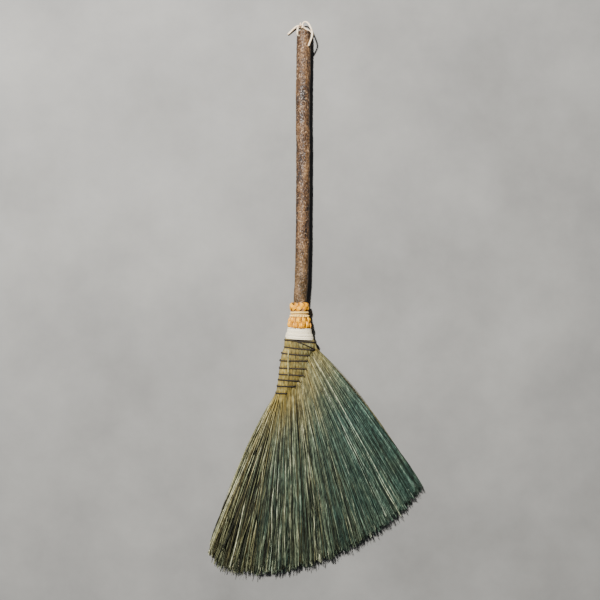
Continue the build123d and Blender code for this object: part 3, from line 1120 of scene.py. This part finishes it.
def stray_fibres(bundle, count, shares, way_out):
    """A few loose pale fibres that stand out past one side of the brush."""
    shape = (count, 1)
    share = rng.uniform(*shares, shape)
    fibres = Table(
        begin=share,
        tip=share,
        start=0.02,
        wave=0.8,
        level=rng.uniform(-0.4, 0.7, shape),
        finish=rng.uniform(0.55, 0.98, shape),
        tip_level=rng.uniform(-0.5, 0.7, shape),
        turns=rng.uniform(0.7, 2.4, shape),
        phase=rng.uniform(0, 1, (count, 3)),
        fray=np.zeros((count, 2)),
    )
    path, along = fibre_paths(bundle, fibres, STRAY_STEPS)
    out = rng.uniform(0.5, 5.0, shape) * sin(linspace(0, math.pi, STRAY_STEPS))
    path[..., :2] += out[..., None] * way_out
    radii = np.tile(linspace(0.4, 0.22, STRAY_STEPS), shape)
    return path, radii, 3, strand_values(rng.uniform(0.35, 0.95, shape) + 0 * along, 0.25, 0.03)


def loose_stalk():
    """A pale stalk that missed the twine and lies over rows three to six."""
    y = linspace(-83.0, -131.0, 24)
    x = -18.6 - 0.8 * sin(linspace(0, math.pi, len(y)))
    z = at_y(y, BRUSH_TOP) + 0.9 - 3.6 * abs(linspace(-1, 1, len(y))) ** 6
    path = stack([x, y, z], -1)[None]
    return path, np.full((1, len(y)), 1.1), 8, strand_values(0.74 + 0.08 * sin(y)[None], 0.15, 0.1)


def strand_uvs(cells, rows, steps, sides):
    """Where strands lie on the bake's square: each has its own cell in a grid, with a margin."""
    here, level = np.arange(sides), np.arange(steps - 1)[:, None]
    across = stack([here, here + 1, here + 1, here], -1) / sides
    rise = stack([level, level, level + 1, level + 1], -1) / (steps - 1)
    u = (cells % BAKE_COLUMNS / BAKE_COLUMNS)[:, None, None, None] + (0.15 + 0.7 * across) / BAKE_COLUMNS
    v = (cells // BAKE_COLUMNS / rows)[:, None, None, None] + (0.04 + 0.92 * rise) / rows
    return stack(np.broadcast_arrays(u, v), -1).reshape(-1, 2)


def strand_mesh(name, slot, groups):
    """One mesh from groups of strands. A group is paths, radii, sides and the strand attribute."""
    rows = math.ceil(sum(len(paths) for paths, *_ in groups) / BAKE_COLUMNS)
    points, faces, strands, uvs = [], [], [], []
    first = cell = 0
    for paths, radii, sides, values in groups:
        count, steps = paths.shape[:2]
        paths[..., 2] = np.maximum(paths[..., 2], radii + FLOOR_GAP)
        roll = rng.uniform(0, TAU, (count, 1, 1))
        points.append(tube_rings(paths, radii, sides, roll=roll).reshape(-1, 3))
        strands.append(np.repeat(values.reshape(-1, 3), sides, 0))
        starts = first + np.arange(count)[:, None, None] * steps * sides
        faces.append((starts + ring_quads(steps, sides)).reshape(-1, 4))
        uvs.append(strand_uvs(cell + np.arange(count), rows, steps, sides))
        first += count * steps * sides
        cell += count
    faces = concatenate(faces).tolist()
    piece = new_mesh(name, slot, concatenate(points), faces, strand=concatenate(strands))
    layer = piece.data.uv_layers.new(name="OFBake")
    layer.data.foreach_set("uv", concatenate(uvs).astype(np.float32).ravel())
    return piece


def make_bundle(bundle):
    """One bundle: stalks, tufts of fibres that branch from them, and fine twigs at the tips."""
    stalks = stalk_table(bundle)
    tufts = tuft_table(bundle, stalks)
    groups = [stalk_group(bundle, picked(stalks))]
    fibres, group = fibre_group(bundle, stalks, tufts)
    groups += [group, twig_group(bundle, fibres, group[-1])]
    if bundle == 0:
        groups.append(stray_fibres(bundle, 9, (0.0, 0.05), (0.79, 0.62)))
    if bundle == BUNDLES - 2:
        groups.append(loose_stalk())
    if bundle == BUNDLES - 1:
        groups.append(stray_fibres(bundle, 40, (0.9, 1.0), (-0.92, 0.3)))
    slot = "broomcorn_teal" if bundle < 4 else "broomcorn_olive" if bundle < 8 else "broomcorn_straw"
    piece = strand_mesh(f"broomcorn_head_{bundle + 1}", slot, groups)
    broomcorn_material(piece, f"{slot}_{bundle + 1}")
    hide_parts(f"broomcorn_bundle_{bundle + 1}")


# ---- the black twine

TWINE_STRAND = 0.95
TWINE_LAY = 0.55
TWINE_PROUD = 0.4
TWINE_PITCH = 5.0
TWINE_SIDES = 6
ROW_POINTS = 260
ROW_ENDS = (5, 6, 7)


def even_loop(points, count):
    """A closed line through points, with its corners eased and its points evenly spaced."""
    for _ in range(3):
        points = 0.5 * points + 0.25 * (np.roll(points, 1, 0) + np.roll(points, -1, 0))
    closed = np.vstack([points, points[:1]])
    far = reach(closed)
    at = linspace(0, far[-1], count, endpoint=False)
    return stack([np.interp(at, far, closed[:, axis]) for axis in range(3)], -1)


def row_line(middle, drop, right):
    """Points once round a twine row: over the top, down the right side, underneath and up again."""
    left = at_y(middle + drop / 2, WOVEN_LEFT)
    x_middle, x_half, z_middle, z_half = section(left, right, at_y(middle, BRUSH_TOP))
    over = -cos(linspace(0, math.pi, 60))
    side = linspace(1, -1, 14)[1:-1]
    across = concatenate([over, np.ones_like(side), -over, -np.ones_like(side)])
    height = concatenate([np.ones_like(over), side, -np.ones_like(over), -side])
    x = x_middle + across * (x_half * TWINE_SINK + TWINE_PROUD)
    z = z_middle + height * fall_off(across, middle) * (z_half * TWINE_SINK + TWINE_PROUD)
    y = middle - drop * (x - x_middle) / (2 * x_half)
    return even_loop(stack([x, y, z], -1), ROW_POINTS)


def twine_rows():
    """Nine turns of twisted black twine, each drawn tight round the stalks that it ties in."""
    for number, (middle, drop, right) in enumerate(TWINE_ROWS, 1):
        line = row_line(middle, drop, right)
        along = linspace(0, TAU, len(line), endpoint=False)
        length = np.linalg.norm(line - np.roll(line, 1, 0), axis=1).sum()
        line[:, 1] += 0.25 * sin(2 * along + number)
        out = unit((line - line.mean(0)) * (1 / np.ptp(line[:, 0]), 0, 1 / np.ptp(line[:, 2])))
        side = np.cross(unit(np.roll(line, -1, 0) - np.roll(line, 1, 0)), out)
        build = Builder()
        for strand in (0, math.pi):
            twist = (along * round(length / TWINE_PITCH) + strand)[:, None]
            path = line + TWINE_LAY * (cos(twist) * side + sin(twist) * out)
            build.add(path, TWINE_STRAND, TWINE_SIDES, 0.5 + 0.2 * rng.normal(), closed=True, up=out)
        if number == 1:
            add_crossing_twine(build)
        if number in ROW_ENDS:
            add_row_end(build, right, middle - drop / 2)
        name = f"black_twine_{number}"
        twine = build.piece(name, "black_twine", f"twine_row_{number}")
        cord_material(twine, name, (0.003, 0.002, 0.001), (0.032, 0.023, 0.015), 0.6, 0.03)


def add_row_end(build, x, y):
    """The twine's end where it slips down between two bundles, at a row's right end."""
    t = linspace(0, 1, 12)
    z = at_y(y, BRUSH_TOP) * 0.95 + 0.6 - 4.5 * t**2
    build.add(stack([x + 2.4 * t, y - 4.2 * t, z], -1), 0.85, TWINE_SIDES, 0.3)


def add_crossing_twine(build):
    """The stretch of twine that slants over the top from the first row to the second."""
    t = linspace(0, 1, 40)
    x = -4.0 + 30.5 * t
    y = -68.8 - 13.0 * t**1.25
    z = woven_point(x, y, 1.0, 0.0)[:, 2] + 0.9
    build.add(stack([x, y, z], -1), 0.9, TWINE_SIDES, 0.4)


# ---- inside the neck

CORE_SIDES = 40
CORE_INSET = 3.5


def make_core():
    """A filling inside the woven part, painted dark as shade, so that no light shows through."""
    turn = linspace(0, TAU, CORE_SIDES, endpoint=False)
    y = linspace(NECK_BOTTOM + 3, TWINE_ROWS[-1][0] - 1, 30)[:, None]
    x_middle, x_half, z_middle, z_half = woven_section(y)
    x = x_middle + (x_half - CORE_INSET) * 0.9 * cos(turn)
    z = z_middle + (z_half - CORE_INSET) * 0.85 * sin(turn)
    rings = stack(np.broadcast_arrays(x, y, z), -1)
    faces = tube_faces(len(y), CORE_SIDES)
    core = new_mesh("inner_stalk_core", "straw_stalks", rings.reshape(-1, 3), faces)
    core_material(core, "inner_core_painted_shade")


def dress_hidden_nodes():
    """Materials for the CAD pieces that stay inside the neck."""
    for node, material, name in (
        ("inner_stalks", stalk_material, "dry_inner_stalks"),
        ("outer_stalks", stalk_material, "dry_outer_stalks"),
        ("inner_tie", tie_material, "inner_tie_cord"),
        ("anchor_nail", steel_material, "nail_steel"),
    ):
        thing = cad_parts[node]
        thing.data.materials.clear()
        material(thing, name)


# ---- the whole scene

make_camera()
make_thong()
make_stage()
make_stick()
upper_plait()
waist_cord()
lower_plait()
white_binding()
for bundle_number in range(BUNDLES):
    make_bundle(bundle_number)
twine_rows()
make_core()
dress_hidden_nodes()
